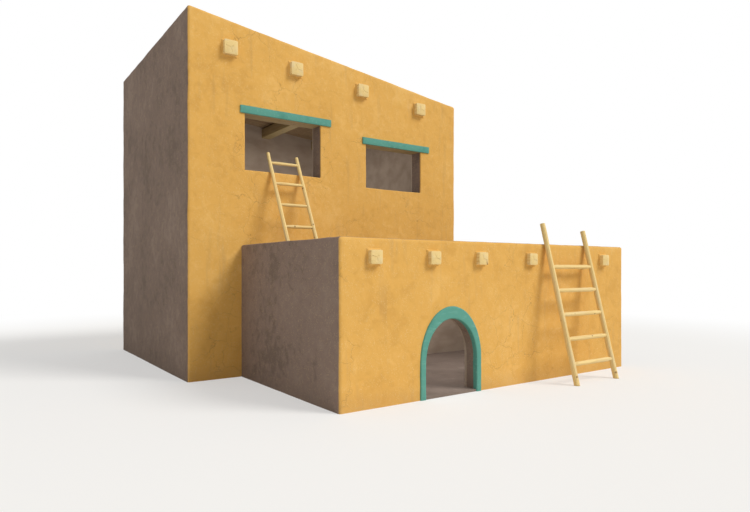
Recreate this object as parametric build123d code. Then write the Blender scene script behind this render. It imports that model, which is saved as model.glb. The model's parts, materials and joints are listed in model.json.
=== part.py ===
from build123d import *
import math
import os

# Earthen house of two flat-roofed blocks, in millimetres, +Z up.
# It is drawn from the tall block's front left corner, with +X along the front
# and +Y to the back, and is moved to the centre of its footprint at the end.

# Tall block. Its parapet and its roof fall to the right for rain, the roof a little less.
tall_length = 9100.0
tall_depth = 7300.0
tall_height = 9500.0
tall_fall = 1130.0
roof_fall = 850.0
tall_wall = 500.0

# Low block, in front of the tall one. It starts to the right of the tall block's
# left end, and runs past its right end.
low_start = 1420.0
low_overrun_length = 2070.0
low_depth = 4900.0
low_height = 3500.0
low_wall = 400.0

# Hand-smoothed edges of the earth walls: outer corners, outer and inner edge of the parapet
corner_round = 60.0
parapet_round = 60.0
parapet_bevel = 40.0

# Squared roof beams, showing at the wall faces, at their distances from the
# left and from the right end of each block
tall_beam_size = 370.0
tall_beams_from_left = (1100.0, 3020.0)
tall_beams_from_right = (3850.0, 1610.0)
tall_beam_drop = 590.0
tall_beam_reach = 150.0
low_beam_size = 290.0
low_beams_from_left = (840.0, 2425.0, 3890.0, 5660.0)
low_beams_from_right = (1010.0,)
low_beam_drop = 265.0
low_beam_reach = 130.0
beam_bearing_length = 260.0
beam_chamfer = 18.0

# Ceiling poles across the beams, and the rammed earth over them
pole_diameter = 100.0
pole_sides = 8
pole_pitch = 200.0
tall_roof_earth = 120.0
low_roof_earth = 85.0

# Upper floor under the window row
upper_floor_level = 4600.0
upper_floor_earth = 120.0
floor_beam_size = 280.0
floor_beam_count = 5

# Earth floor of the low block
ground_floor_thickness = 50.0

# Windows of the front wall, repeated in the back wall. The left one is placed
# from the tall block's left end, and the right one from its right end.
left_window_start = 1530.0
left_window_width = 2310.0
left_window_sill = 5480.0
left_window_height = 1500.0
right_window_inset = 1520.0
right_window_width = 2150.0
right_window_sill = 5320.0
right_window_height = 1320.0

# Timber lintels, longer on the right as built
lintel_height = 210.0
lintel_left_bearing_length = 140.0
lintel_right_bearing_length = 340.0
lintel_proud = 40.0
lintel_chamfer = 12.0

# Arched doorway of the low block, and its raised surround
door_centre = 2990.0
door_width = 1526.0
door_spring = 800.0
door_rise = 925.0
surround_side = 160.0
surround_crown = 285.0
surround_proud = 30.0
surround_depth = 110.0

# Pole ladders, with the rungs let into sockets in the rails
rung_pitch = 600.0
front_rail_diameter = 140.0
front_socket_depth = 77.0
front_rung_diameter = 112.0
front_ladder_start = 7650.0
front_ladder_width = 1650.0
front_ladder_lean_angle = 14.5
front_left_rail_top = 4020.0
front_right_rail_top = 3880.0
front_first_rung_height = 500.0
front_rung_count = 5
roof_rail_diameter = 105.0
roof_socket_depth = 56.0
roof_rung_diameter = 88.0
roof_ladder_start = 2290.0
roof_ladder_width = 865.0
roof_ladder_lean_angle = 26.0
roof_left_rail_top = 6050.0
roof_right_rail_top = 6000.0
roof_first_rung_height = 540.0
roof_rung_count = 4

# Gap round let-in timber and under a pole that only leans, and how far a cut
# runs past the faces that it opens
seat_gap = 0.3
overcut = 1.0

# Levels and faces worked out from the sizes above
roof_slope = roof_fall / tall_length
low_end = tall_length + low_overrun_length
low_front = -low_depth
low_inner_front = low_front + low_wall
low_inner_left = low_start + low_wall
low_inner_right = low_end - low_wall
tall_inner_right = tall_length - tall_wall
tall_inner_back = tall_depth - tall_wall
right_window_start = tall_length - right_window_inset - right_window_width
tall_beam_places = [*tall_beams_from_left, *(tall_length - inset for inset in tall_beams_from_right)]
low_beam_places = [
    *(low_start + place for place in low_beams_from_left),
    *(low_end - inset for inset in low_beams_from_right),
]
tall_beam_top = tall_height - tall_beam_drop
tall_pole_top = tall_beam_top + pole_diameter + seat_gap
low_beam_top = low_height - low_beam_drop
low_pole_top = low_beam_top + pole_diameter + seat_gap
low_roof_level = low_pole_top + low_roof_earth + seat_gap
upper_pole_top = upper_floor_level - upper_floor_earth - seat_gap
upper_beam_top = upper_pole_top - pole_diameter - seat_gap


def block(x0, x1, y0, y1, z0, z1):
    """Upright block between two corners."""
    centre = Pos((x0 + x1) / 2, (y0 + y1) / 2, (z0 + z1) / 2)
    return centre * Box(x1 - x0, y1 - y0, z1 - z0)


def grown(x0, x1, y0, y1, z0, z1):
    """Block larger than another by the seat gap on every side."""
    gap = seat_gap
    return block(x0 - gap, x1 + gap, y0 - gap, y1 + gap, z0 - gap, z1 + gap)


def prism(outline, y0, y1):
    """Solid with the given outline of X and Z points, between two depths."""
    front = Plane(origin=(0, y0, 0), x_dir=(1, 0, 0), z_dir=(0, -1, 0))
    return extrude(front * make_face(Polyline(*outline, close=True)), amount=-(y1 - y0))


def falling(x0, x1, y0, y1, under, over):
    """Slab whose two faces follow the fall of the tall roof."""
    outline = [
        (x0, under - roof_slope * x0),
        (x1, under - roof_slope * x1),
        (x1, over - roof_slope * x1),
        (x0, over - roof_slope * x0),
    ]
    return prism(outline, y0, y1)


def crest(shell):
    """The level or falling top face of a block or a ring of walls."""
    upward = [face for face in shell.faces() if face.normal_at().Z > 0.9]
    return max(upward, key=lambda face: face.area)


def soften(solid, room):
    """Round the outer corners and the outer edge of the parapet, hollow it and bevel the inner edge."""
    rounded = fillet(solid.edges().filter_by(Axis.Z), corner_round)
    shell = fillet(crest(rounded).edges(), parapet_round) - room
    return chamfer(crest(shell).inner_wires()[0].edges(), parapet_bevel)


def beam(centre_x, size, top, front, back):
    """Squared timber from front to back, with planed-off arrises."""
    stick = block(centre_x - size / 2, centre_x + size / 2, front, back, top - size, top)
    return chamfer(stick.edges().filter_by(Axis.Y), beam_chamfer)


def beam_hole(centre_x, size, top, front, back):
    """Space that a let-in beam takes in the wall, with its seat gap."""
    return grown(centre_x - size / 2, centre_x + size / 2, front, back, top - size, top)


def tall_beam_level(centre_x):
    """Top of a tall roof beam, under the poles at its lower arris."""
    return tall_beam_top - roof_slope * (centre_x + tall_beam_size / 2)


tall_beam_line = [
    (x, tall_beam_size, tall_beam_level(x), -tall_beam_reach, tall_depth + tall_beam_reach)
    for x in tall_beam_places
]

low_beam_line = []
for x in low_beam_places:
    passes_tall_block = x - low_beam_size / 2 > tall_length
    rear = low_wall + low_beam_reach if passes_tall_block else beam_bearing_length
    low_beam_line.append((x, low_beam_size, low_beam_top, low_front - low_beam_reach, rear))

floor_beam_step = (tall_length - 2 * tall_wall) / (floor_beam_count + 1)
floor_beam_line = [
    (
        tall_wall + floor_beam_step * (i + 1),
        floor_beam_size,
        upper_beam_top,
        tall_wall - beam_bearing_length,
        tall_inner_back + beam_bearing_length,
    )
    for i in range(floor_beam_count)
]

windows = {
    "left": (left_window_start, left_window_width, left_window_sill, left_window_height),
    "right": (right_window_start, right_window_width, right_window_sill, right_window_height),
}


def lintel_box(window, face, inner, gap=0.0):
    """Corners of a lintel between its outer face and the room side of the wall."""
    start, width, sill, height = window
    head = sill + height
    y0, y1 = min(face, inner), max(face, inner)
    return (
        start - lintel_left_bearing_length - gap,
        start + width + lintel_right_bearing_length + gap,
        y0 - gap,
        y1 + gap,
        head - gap,
        head + lintel_height + gap,
    )


def cut_windows(wall, y0, y1, face, inner):
    """Cut the two windows through a wall, with the beds of their lintels."""
    for window in windows.values():
        start, width, sill, height = window
        wall -= block(start, start + width, y0 - overcut, y1 + overcut, sill, sill + height)
        wall -= block(*lintel_box(window, face, inner, seat_gap))
    return wall


def tall_walls():
    """The four walls of the tall block, each with its share of the parapet."""
    outline = [(0, 0), (tall_length, 0), (tall_length, tall_height - tall_fall), (0, tall_height)]
    over = tall_height + overcut
    room = block(tall_wall, tall_inner_right, tall_wall, tall_inner_back, -overcut, over)
    shell = soften(prism(outline, 0, tall_depth), room)
    front = shell & block(0, tall_length, 0, tall_wall, 0, over)
    back = shell & block(0, tall_length, tall_inner_back, tall_depth, 0, over)
    left = shell & block(0, tall_wall, tall_wall, tall_inner_back, 0, over)
    right = shell & block(tall_inner_right, tall_length, tall_wall, tall_inner_back, 0, over)
    front = cut_windows(front, 0, tall_wall, -lintel_proud, tall_wall)
    back = cut_windows(back, tall_inner_back, tall_depth, tall_depth + lintel_proud, tall_inner_back)
    for line in tall_beam_line:
        front -= beam_hole(*line)
        back -= beam_hole(*line)
    for line in floor_beam_line:
        front -= beam_hole(*line)
        back -= beam_hole(*line)
    for line in low_beam_line:
        front -= beam_hole(*line)
    return {
        "tall_front_wall": front,
        "tall_back_wall": back,
        "tall_left_wall": left,
        "tall_right_wall": right,
    }


def arch(half_width, crown, y0, y1):
    """Solid under an arch that rises upright and closes in half an ellipse."""
    front = Plane(origin=(low_start + door_centre, y0, 0), x_dir=(1, 0, 0), z_dir=(0, -1, 0))
    rise = crown - door_spring
    head = EllipticalCenterArc((0, door_spring), half_width, rise, start_angle=0, arc_size=180)
    sides = Polyline(head @ 1, (-half_width, 0), (half_width, 0), head @ 0)
    return extrude(front * make_face([head, sides]), amount=-(y1 - y0))


def low_walls():
    """The walls of the low block, with the arched doorway in the front one."""
    outside = block(low_start, low_end, low_front, low_wall, 0, low_height)
    over = low_height + overcut
    room = block(low_inner_left, low_inner_right, low_inner_front, 0, -overcut, over)
    shell = soften(outside, room)
    front = shell & block(low_start, low_end, low_front, low_inner_front, 0, over)
    left = shell & block(low_start, low_inner_left, low_inner_front, 0, 0, over)
    right = shell & block(low_inner_right, low_end, low_inner_front, 0, 0, over)
    back = shell & block(tall_length, low_end, 0, low_wall, 0, over)
    doorway = arch(door_width / 2, door_spring + door_rise, low_front - overcut, low_inner_front + overcut)
    bed = arch(
        door_width / 2 + surround_side + seat_gap,
        door_spring + door_rise + surround_crown + seat_gap,
        low_front - overcut,
        low_front + surround_depth + seat_gap,
    )
    front -= doorway
    front -= bed
    for line in low_beam_line:
        front -= beam_hole(*line)
        back -= beam_hole(*line)
    return {
        "low_front_wall": front,
        "low_left_wall": left,
        "low_right_wall": right,
        "low_back_wall": back,
    }


def door_surround():
    """Painted band round the doorway, widest at its crown."""
    crown = door_spring + door_rise
    depths = (low_front - surround_proud, low_front + surround_depth)
    outer = arch(door_width / 2 + surround_side, crown + surround_crown, *depths)
    return outer - arch(door_width / 2, crown, depths[0] - overcut, depths[1] + overcut)


def low_floor():
    """Earth floor of the low block, with its tongue through the doorway."""
    room = block(low_inner_left, low_inner_right, low_inner_front, 0, 0, ground_floor_thickness)
    middle = low_start + door_centre
    half = door_width / 2 - seat_gap
    tongue = block(middle - half, middle + half, low_front, low_inner_front, 0, ground_floor_thickness)
    return room + tongue


def pole_rows(front, back):
    """Places of the ceiling poles, evenly spaced between two walls."""
    count = int((back - front - pole_diameter) // pole_pitch) + 1
    margin = (back - front - (count - 1) * pole_pitch) / 2
    return [front + margin + i * pole_pitch for i in range(count)]


def pole(x0, x1, y, top, slope):
    """Adzed pole along X, flat side up, under a level given at x = 0 and following a slope."""
    lean = math.atan(slope)
    length = (x1 - x0) / math.cos(lean) - pole_diameter * math.tan(lean)
    middle = (x0 + x1) / 2
    centre = Pos(middle, y, top - slope * middle - pole_diameter / 2 / math.cos(lean))
    section = RegularPolygon(pole_diameter / 2, pole_sides, major_radius=False, rotation=180 / pole_sides)
    lying = Plane(origin=(0, 0, 0), x_dir=(0, 1, 0), z_dir=(1, 0, 0))
    return centre * Rot(0, math.degrees(lean), 0) * extrude(lying * section, amount=length / 2, both=True)


def pole_layer(x0, x1, y0, y1, top, slope=0.0):
    """Row of ceiling poles side by side across the beams of one room."""
    left, right = x0 + seat_gap, x1 - seat_gap
    return Compound([pole(left, right, y, top, slope).solid() for y in pole_rows(y0, y1)])


class PoleLadder:
    """Two round rails that lean on an edge, and the rungs let into them."""

    def __init__(self, start, width, lean, rail_diameter, rung_diameter, socket_depth):
        self.rail_places = (start, start + width)
        self.lean = math.radians(lean)
        self.rail_diameter = rail_diameter
        self.rung_diameter = rung_diameter
        self.socket_depth = socket_depth

    def lean_on(self, edge_y, edge_z, edge_round):
        """Set the rails' axis just clear of the edge, square or rounded, that they lean on."""
        reach = edge_round + self.rail_diameter / 2 + seat_gap
        self.rest_y = edge_y + edge_round - reach * math.cos(self.lean)
        self.rest_z = edge_z - edge_round + reach * math.sin(self.lean)

    def axis_y(self, z):
        """Depth of the rails' axis at a height."""
        return self.rest_y + (z - self.rest_z) * math.tan(self.lean)

    def rail(self, x, side, foot, top, heights):
        """Leaning pole cut level at its foot, with a socket on one side for each rung."""
        start = foot - self.rail_diameter
        length = (top - start) / math.cos(self.lean)
        upright = (Align.CENTER, Align.CENTER, Align.MIN)
        trunk = Cylinder(self.rail_diameter / 2, length, align=upright)
        trunk = Pos(x, self.axis_y(start), start) * Rot(-math.degrees(self.lean), 0, 0) * trunk
        trunk = split(trunk, Plane.XY.offset(foot), keep=Keep.TOP)
        bore = Cylinder(self.rung_diameter / 2 + seat_gap, self.rail_diameter, align=upright)
        bottom = x + side * (self.rail_diameter / 2 - self.socket_depth - seat_gap)
        for height in heights:
            trunk -= Pos(bottom, self.axis_y(height), height) * Rot(0, 90 * side, 0) * bore
        return trunk

    def rungs(self, heights):
        """The round rungs, each reaching to the bottom of its two sockets."""
        left, right = self.rail_places
        length = right - left - self.rail_diameter + 2 * self.socket_depth
        rod = Rot(0, 90, 0) * Cylinder(self.rung_diameter / 2, length)
        middle = (left + right) / 2
        return Compound([(Pos(middle, self.axis_y(height), height) * rod).solid() for height in heights])

    def pieces(self, name, foot, tops, first_rung, rung_count):
        """The ladder's pieces by node name, standing at a level."""
        left, right = self.rail_places
        heights = [foot + first_rung + i * rung_pitch for i in range(rung_count)]
        return {
            name + "_left_rail": self.rail(left, 1, foot, tops[0], heights),
            name + "_right_rail": self.rail(right, -1, foot, tops[1], heights),
            name + "_rungs": self.rungs(heights),
        }


def front_ladder():
    """Ladder from the ground to the low parapet."""
    ladder = PoleLadder(
        front_ladder_start,
        front_ladder_width,
        front_ladder_lean_angle,
        front_rail_diameter,
        front_rung_diameter,
        front_socket_depth,
    )
    ladder.lean_on(low_front, low_height, parapet_round)
    tops = (front_left_rail_top, front_right_rail_top)
    return ladder.pieces("front_ladder", 0.0, tops, front_first_rung_height, front_rung_count)


def roof_ladder():
    """Ladder from the low roof to the sill of the left window."""
    ladder = PoleLadder(
        roof_ladder_start,
        roof_ladder_width,
        roof_ladder_lean_angle,
        roof_rail_diameter,
        roof_rung_diameter,
        roof_socket_depth,
    )
    ladder.lean_on(0.0, left_window_sill, 0.0)
    foot = low_roof_level + seat_gap
    tops = (roof_left_rail_top, roof_right_rail_top)
    return ladder.pieces("roof_ladder", foot, tops, roof_first_rung_height, roof_rung_count)


def lintels():
    """Painted timber lintels of the front and back windows."""
    sides = {
        "front": (-lintel_proud, tall_wall),
        "back": (tall_depth + lintel_proud, tall_inner_back),
    }
    made = {}
    for side, (face, inner) in sides.items():
        for place, window in windows.items():
            timber = block(*lintel_box(window, face, inner))
            made[f"{side}_{place}_window_lintel"] = chamfer(timber.edges().filter_by(Axis.X), lintel_chamfer)
    return made


def house():
    """All named pieces of the house, drawn from the tall block's corner."""
    pieces = {}
    pieces.update(tall_walls())
    pieces.update(low_walls())
    pieces.update(lintels())
    for number, line in enumerate(tall_beam_line, start=1):
        pieces[f"tall_roof_beam_{number}"] = beam(*line)
    for number, line in enumerate(low_beam_line, start=1):
        pieces[f"low_roof_beam_{number}"] = beam(*line)
    pieces["upper_floor_beams"] = Compound([beam(*line).solid() for line in floor_beam_line])
    tall_room = (tall_wall, tall_inner_right, tall_wall, tall_inner_back)
    low_room = (low_inner_left, low_inner_right, low_inner_front, 0)
    pieces["tall_roof_poles"] = pole_layer(*tall_room, tall_pole_top, roof_slope)
    roof_level = tall_pole_top + tall_roof_earth
    pieces["tall_roof_earth"] = falling(*tall_room, tall_pole_top + seat_gap, roof_level)
    pieces["upper_floor_poles"] = pole_layer(*tall_room, upper_pole_top)
    pieces["upper_floor_earth"] = block(*tall_room, upper_pole_top + seat_gap, upper_floor_level)
    pieces["low_roof_poles"] = pole_layer(*low_room, low_pole_top)
    pieces["low_roof_earth"] = block(*low_room, low_pole_top + seat_gap, low_roof_level)
    pieces["low_floor"] = low_floor()
    pieces["door_surround"] = door_surround()
    pieces.update(front_ladder())
    pieces.update(roof_ladder())
    return pieces


pieces = house()
footprint = Compound([solid for piece in pieces.values() for solid in piece.solids()]).bounding_box()
origin_x = (footprint.min.X + footprint.max.X) / 2
origin_y = (footprint.min.Y + footprint.max.Y) / 2

os.makedirs("parts", exist_ok=True)
for name, piece in pieces.items():
    export_step(Pos(-origin_x, -origin_y, 0) * piece, f"parts/{name}.step")
print(f"{len(pieces)} pieces, origin {origin_x:.3f}, {origin_y:.3f} from the tall block's front left corner")
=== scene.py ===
import json
import logging
import math
import random
from collections.abc import Callable
from dataclasses import dataclass, field, replace
from enum import Enum

import bmesh
import bpy
from mathutils import Euler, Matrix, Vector

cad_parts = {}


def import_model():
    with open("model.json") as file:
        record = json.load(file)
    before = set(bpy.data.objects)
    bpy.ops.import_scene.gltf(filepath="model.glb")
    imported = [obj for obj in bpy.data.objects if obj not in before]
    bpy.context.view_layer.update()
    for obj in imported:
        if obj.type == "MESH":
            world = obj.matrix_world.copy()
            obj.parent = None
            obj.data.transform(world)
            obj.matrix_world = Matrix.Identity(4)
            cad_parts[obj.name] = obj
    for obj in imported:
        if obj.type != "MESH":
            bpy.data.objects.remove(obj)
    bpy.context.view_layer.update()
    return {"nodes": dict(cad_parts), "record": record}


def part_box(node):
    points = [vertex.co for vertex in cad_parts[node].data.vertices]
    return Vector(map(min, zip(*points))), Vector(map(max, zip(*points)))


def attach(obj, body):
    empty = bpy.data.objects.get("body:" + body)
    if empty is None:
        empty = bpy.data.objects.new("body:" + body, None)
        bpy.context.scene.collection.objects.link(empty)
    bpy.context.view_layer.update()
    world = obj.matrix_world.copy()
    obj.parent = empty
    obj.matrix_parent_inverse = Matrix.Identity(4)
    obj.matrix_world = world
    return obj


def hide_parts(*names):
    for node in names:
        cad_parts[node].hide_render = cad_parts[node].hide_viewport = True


# Looks of a mud-brick house of two flat-roofed blocks: a hand-plastered tall block, a low block
# before it with an arched doorway, hewn roof beams, painted lintels and two pole ladders.
# Metres, +Z up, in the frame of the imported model.

LOG = logging.getLogger("earthen_house")
UP = Vector((0, 0, 1))
X, Y, Z = 0, 1, 2
QUARTER_TURN = math.pi / 2

# The mesh attribute that keeps each point's place in its own stick
STICK_ATTRIBUTE = "stick"

# Places less than this many metres apart count as one
NEAR = 0.001

# How far a cutter reaches past what it cuts, in metres
PAST = 0.1

# How much of an edge's length has to lie along an axis, for the edge to run along it
ALONG = 0.99

# How much of a face's normal has to lie along an axis, for the face to look along it
FACING = 0.9

# A stick is rolled by up to this many radians, and its grain is moved along it by up to this many metres
ROLL = 6.0
GRAIN_RUN = 9.0

# Inputs of the colour mix: the share, the colour under it and the colour over it
SHARE, UNDER, OVER = 0, 6, 7

# The value of a pattern at which what it brings is hidden, and the value at which it is full
Band = tuple[float, float]

Point = tuple[float, float, float]
Tree = bpy.types.NodeTree
Piece = bpy.types.Object
Feed = bpy.types.Node | bpy.types.NodeSocket | float | tuple
Part = bmesh.types.BMEdge | bmesh.types.BMFace
Test = Callable[..., bool]


class Side(Enum):
    """Which outer face of the house a repeated piece belongs to, and the way it looks along Y."""

    FRONT = -1
    BACK = 1


class Fibre(Enum):
    """Where a timber's pattern is read from: its own stick's frame, or the house's."""

    STICK = "stick"
    OBJECT = "object"


class Slot(Enum):
    """The record's material slots for the finishes."""

    WASH = "ochre_clay_wash"
    PAINT = "turquoise_milk_paint"
    PINE = "peeled_pine"
    EARTH = "packed_earth"


class Element(Enum):
    """What is selected on a mesh in edit mode."""

    POINT = "VERT"
    EDGE = "EDGE"
    FACE = "FACE"


def linear(code: str) -> tuple[float, float, float, float]:
    """Turn an sRGB hex colour into the linear colour that a shader takes.

    Args:
        code: The colour as #RRGGBB.

    Returns:
        Red, green, blue and an alpha of one.
    """
    shares = [int(code[i : i + 2], 16) / 255 for i in (1, 3, 5)]
    red, green, blue = (s / 12.92 if s <= 0.04045 else ((s + 0.055) / 1.055) ** 2.4 for s in shares)
    return red, green, blue, 1.0


def per_metre(size_mm: float) -> float:
    """Scale of a pattern whose features have this size in millimetres."""
    return 1000.0 / size_mm


def put(
    tree: Tree, kind: str, inputs: dict[int | str, Feed] | None = None, **settings: object
) -> bpy.types.Node:
    """Add a shader node with its settings, and set or link its inputs.

    Args:
        tree: The node tree that takes the node.
        kind: The node's type, without the word ShaderNode.
        inputs: For each input, by name or place, a value, a socket, or a node that stands for the
            first of its outputs in use.
        settings: The node's own options.

    Returns:
        The new node.
    """
    node = tree.nodes.new("ShaderNode" + kind)
    for option, value in settings.items():
        setattr(node, option, value)
    for place, value in (inputs or {}).items():
        if isinstance(value, bpy.types.Node):
            value = next(output for output in value.outputs if output.enabled)
        if isinstance(value, bpy.types.NodeSocket):
            tree.links.new(value, node.inputs[place])
        else:
            node.inputs[place].default_value = value
    return node


def blank_material(name: str) -> tuple[bpy.types.Material, Tree]:
    """Make a material with an empty node tree.

    Args:
        name: The material's name.

    Returns:
        The material and its tree.
    """
    material = bpy.data.materials.new(name)
    material.use_nodes = True
    material.node_tree.nodes.clear()
    return material, material.node_tree


def where_all(tree: Tree, *tests: tuple[Feed, float, float], most: float = 1.0) -> Feed:
    """Work out where patterns show together, each eased from where it is hidden to where it is full.

    Args:
        tree: The material's tree.
        tests: Each pattern, the value at which it is hidden, and the value at which it is full.
        most: The share where all of them are full.

    Returns:
        A share from 0, where any of them is hidden.
    """
    share: Feed = most
    for pattern, hidden, full in tests:
        limits = {"Value": pattern, "From Min": hidden, "From Max": full}
        eased = put(tree, "MapRange", limits, interpolation_type="SMOOTHSTEP")
        share = put(tree, "Math", {0: share, 1: eased}, operation="MULTIPLY")
    return share


def weighed(tree: Tree, *parts: tuple[Feed, Feed]) -> Feed:
    """Add up patterns, each by its weight.

    Args:
        tree: The material's tree.
        parts: Each pattern and its weight.

    Returns:
        Their sum.
    """
    total: Feed = 0.0
    for pattern, weight in parts:
        total = put(tree, "Math", {0: pattern, 1: weight, 2: total}, operation="MULTIPLY_ADD")
    return total


@dataclass(frozen=True)
class Coat:
    """A colour that a pattern brings out, from the value that hides it to the value that shows it most."""

    colour: str
    hidden: float
    full: float
    most: float = 1.0

    def dyed(self, colour: str) -> "Coat":
        """The same coat in another colour."""
        return replace(self, colour=colour)

    def over(self, tree: Tree, under: Feed, pattern: Feed) -> bpy.types.Node:
        """Lay the coat over a colour.

        Args:
            tree: The material's tree.
            under: The colour that it lies on.
            pattern: The pattern that brings it out.

        Returns:
            The node of the mixed colour.
        """
        share = where_all(tree, (pattern, self.hidden, self.full), most=self.most)
        return put(tree, "Mix", {SHARE: share, UNDER: under, OVER: linear(self.colour)}, data_type="RGBA")


@dataclass(frozen=True, kw_only=True)
class Finish:
    """A finish that is worked out at each point: a colour and a relief on one dull shader.

    The relief's depth is in metres. The specular level is low, as on dusty earth and dry wood.
    """

    name: str
    roughness: float
    relief: float
    specular: float = 0.25

    def spot(self, tree: Tree) -> Feed:
        """The point that the patterns are read at: the place on the house."""
        return put(tree, "TexCoord").outputs["Object"]

    def surface(self, tree: Tree, spot: Feed) -> tuple[Feed, Feed]:
        """Work out the finish at a point.

        Args:
            tree: The material's tree.
            spot: The point that the patterns are read at.

        Returns:
            The colour, and the relief from 0 to 1.
        """
        raise NotImplementedError

    def material(self) -> bpy.types.Material:
        """Build the finish's material, unless it is made already.

        Returns:
            The material, lit over its relief.
        """
        made = bpy.data.materials.get(self.name)
        if made:
            return made
        material, tree = blank_material(self.name)
        colour, height = self.surface(tree, self.spot(tree))
        bump = put(tree, "Bump", {"Height": height, "Distance": self.relief, "Strength": 1.0})
        inputs = {"Base Color": colour, "Normal": bump, "Roughness": self.roughness}
        shader = put(tree, "BsdfPrincipled", {**inputs, "Specular IOR Level": self.specular})
        put(tree, "OutputMaterial", {"Surface": shader})
        return material


@dataclass(frozen=True, kw_only=True)
class MudPlaster(Finish):
    """Mud plaster floated on by hand, with an ochre clay wash brushed over the outer front and back.

    The wash gives the fronts their warm yellow. The bare mud gives the sides and reveals their grey
    brown, partly a real mud plaster and partly painted shade that makes them darker than the fronts.
    Chopped straw, hand marks and drying cracks keep both from looking painted flat.
    """

    front: float
    back: float
    roughness: float = 0.93
    relief: float = 0.012
    wash: str = "#DEAB58"
    wash_thin: Coat = Coat("#D29F4F", hidden=0.5, full=0.36, most=0.7)
    wash_thick: Coat = Coat("#E8B96A", hidden=0.5, full=0.66, most=0.7)
    # Bare mud of the sides and reveals: real mud plaster, made darker than the wash partly as painted shade
    mud: str = "#837064"
    mud_thin: Coat = Coat("#706055", hidden=0.5, full=0.36, most=0.7)
    mud_thick: Coat = Coat("#958274", hidden=0.5, full=0.66, most=0.7)
    wrap: float = 0.034
    brush_edge: float = 0.012
    daub_share: float = 0.38
    daub_relief: float = 0.7
    grit_relief: float = 0.18
    rain_stretch: Point = (1.0, 1.0, 0.12)
    rain_streaks: Band = (0.56, 0.8)
    rain_wear: float = 0.14
    splash_heights: Band = (0.5, 0.05)
    splash_share: float = 0.26
    straw: str = "#E8CE93"
    straw_slimness: Point = (1.0, 0.1, 0.1)
    straw_turns: tuple[Point, ...] = ((0, 0.7, 0.2), (0, -0.4, 1.4), (0, 1.3, 0.9), (0, -1.0, 2.6))
    straw_edge: Band = (0.2, 0.13)
    straw_patches: Band = (0.36, 0.55)
    straw_bare: float = 0.3
    straw_washed: float = 0.5
    straw_relief: float = 0.1
    crack: str = "#6B4E33"
    crack_edge: Band = (0.011, 0.002)
    crack_patches: Band = (0.5, 0.64)
    crack_share: float = 0.3
    crack_bend: float = 0.55
    crack_relief: float = -0.25

    def washed(self, tree: Tree, spot: Feed, across: Feed) -> Feed:
        """Share of the wash at a point: all on the outer faces, up to a brushed line at the arrises.

        Args:
            tree: The material's tree.
            spot: The point on the house.
            across: Its place along Y.

        Returns:
            A share from 0 on bare mud to 1 on the wash.
        """
        from_front = put(tree, "Math", {0: across, 1: self.front}, operation="SUBTRACT")
        from_back = put(tree, "Math", {0: self.back, 1: across}, operation="SUBTRACT")
        depth = put(tree, "Math", {0: from_front, 1: from_back}, operation="MINIMUM")
        strokes = put(tree, "TexNoise", {"Vector": spot, "Scale": per_metre(140), "Detail": 3.0})
        edge = weighed(tree, (depth, 1.0), (strokes, self.brush_edge))
        return where_all(tree, (edge, self.wrap + self.brush_edge, self.wrap))

    def flecks(self, tree: Tree, spot: Feed) -> Feed:
        """Chopped straw lying four ways, 70 mm by 7 mm, drawn twice as large as real so that it shows.

        Args:
            tree: The material's tree.
            spot: The point on the house.

        Returns:
            A share from 0 between the stalks to 1 on them.
        """
        strewn = put(tree, "TexNoise", {"Vector": spot, "Scale": per_metre(160), "Detail": 1.0})
        shown: Feed = 0.0
        for turn in self.straw_turns:
            lie = {"Vector": spot, "Rotation": turn, "Scale": self.straw_slimness}
            along = put(tree, "Mapping", lie, vector_type="TEXTURE")
            stalks = put(tree, "TexVoronoi", {"Vector": along, "Scale": per_metre(210)})
            lying = where_all(tree, (stalks, *self.straw_edge), (strewn, *self.straw_patches))
            shown = put(tree, "Math", {0: shown, 1: lying}, operation="MAXIMUM")
        return shown

    def hairlines(self, tree: Tree, spot: Feed) -> Feed:
        """Drying cracks about 600 mm apart in some patches only, drawn 6 mm wide so that they show.

        Args:
            tree: The material's tree.
            spot: The point on the house.

        Returns:
            A share from 0 beside the cracks to 1 in them.
        """
        bend = put(tree, "TexNoise", {"Vector": spot, "Scale": per_metre(420), "Detail": 4.0})
        shift = {0: bend.outputs["Color"], 1: (self.crack_bend,) * 3, 2: spot}
        moved = put(tree, "VectorMath", shift, operation="MULTIPLY_ADD")
        lines = {"Vector": moved, "Scale": per_metre(620)}
        plates = put(tree, "TexVoronoi", lines, feature="DISTANCE_TO_EDGE")
        patch = put(tree, "TexNoise", {"Vector": spot, "Scale": per_metre(1900), "Detail": 2.0})
        return where_all(tree, (plates, *self.crack_edge), (patch, *self.crack_patches))

    def surface(self, tree: Tree, spot: Feed) -> tuple[Feed, Feed]:
        """Work out the plaster at a point: mud and wash first, then rain, straw, cracks and splashes.

        Args:
            tree: The material's tree.
            spot: The point on the house.

        Returns:
            The colour and the relief.
        """
        axes = put(tree, "SeparateXYZ", {0: spot})
        broad = {"Vector": spot, "Scale": per_metre(1500), "Detail": 6.0, "Roughness": 0.6}
        clouds = put(tree, "TexNoise", broad)
        by_hand = {"Vector": spot, "Scale": per_metre(230), "Detail": 3.0, "Distortion": 0.6}
        daubs = put(tree, "TexNoise", by_hand)
        grit = put(tree, "TexNoise", {"Vector": spot, "Scale": per_metre(16), "Detail": 2.0})
        down = put(tree, "Mapping", {"Vector": spot, "Scale": self.rain_stretch})
        rain = put(tree, "TexNoise", {"Vector": down, "Scale": per_metre(170)})

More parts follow.
